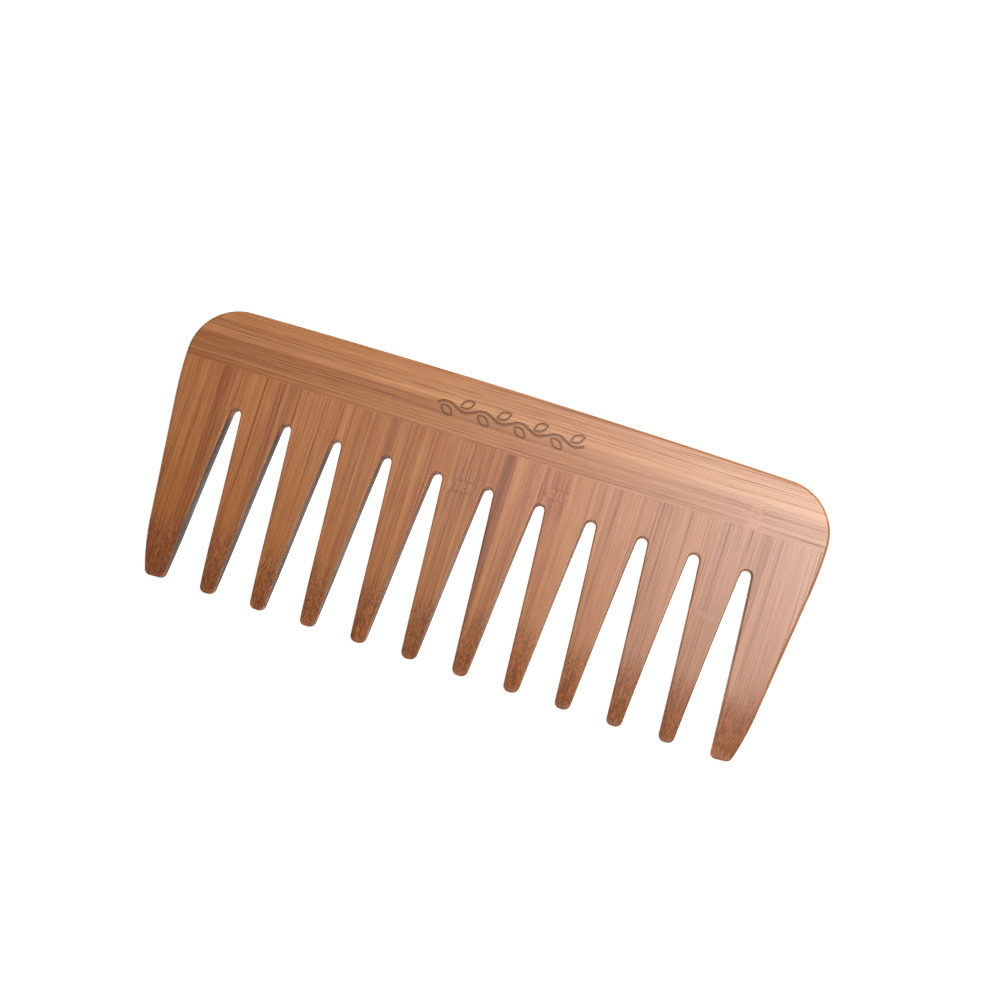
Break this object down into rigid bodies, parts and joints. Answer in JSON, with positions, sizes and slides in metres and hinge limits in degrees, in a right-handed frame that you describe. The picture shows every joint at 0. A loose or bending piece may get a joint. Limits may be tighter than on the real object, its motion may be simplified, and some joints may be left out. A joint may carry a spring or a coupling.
{
  "type": "wide tooth comb",
  "caption": "Flat bamboo hair comb: widely spaced tapering teeth sawn from edge-glued strips, held by a rounded spine of lengthwise strips.",
  "frame": {"origin": "middle of the comb's length and height, on its lower face as it lies flat", "axes": "+X along the comb's length, +Y from the tooth tips towards the spine, +Z out of the upper face"},
  "size_m": [0.1506, 0.0644, 0.0055],
  "materials": {
    "tooth_row_bamboo": "satin oiled carbonised bamboo, grain along the teeth",
    "spine_bamboo": "satin oiled carbonised bamboo, grain along the spine"
  },
  "bodies": {
    "root": {"tooth_strip_01": "tooth_row_bamboo", "tooth_strip_02": "tooth_row_bamboo", "tooth_strip_03": "tooth_row_bamboo", "tooth_strip_04": "tooth_row_bamboo", "tooth_strip_05": "tooth_row_bamboo", "tooth_strip_06": "tooth_row_bamboo", "tooth_strip_07": "tooth_row_bamboo", "tooth_strip_08": "tooth_row_bamboo", "tooth_strip_09": "tooth_row_bamboo", "tooth_strip_10": "tooth_row_bamboo", "tooth_strip_11": "tooth_row_bamboo", "tooth_strip_12": "tooth_row_bamboo", "tooth_strip_13": "tooth_row_bamboo", "tooth_strip_14": "tooth_row_bamboo", "tooth_strip_15": "tooth_row_bamboo", "tooth_strip_16": "tooth_row_bamboo", "tooth_strip_17": "tooth_row_bamboo", "tooth_strip_18": "tooth_row_bamboo", "tooth_strip_19": "tooth_row_bamboo", "tooth_strip_20": "tooth_row_bamboo", "tooth_strip_21": "tooth_row_bamboo", "tooth_strip_22": "tooth_row_bamboo", "tooth_strip_23": "tooth_row_bamboo", "spine_lower_strip": "spine_bamboo", "spine_upper_strip": "spine_bamboo"}
  },
  "joints": []
}
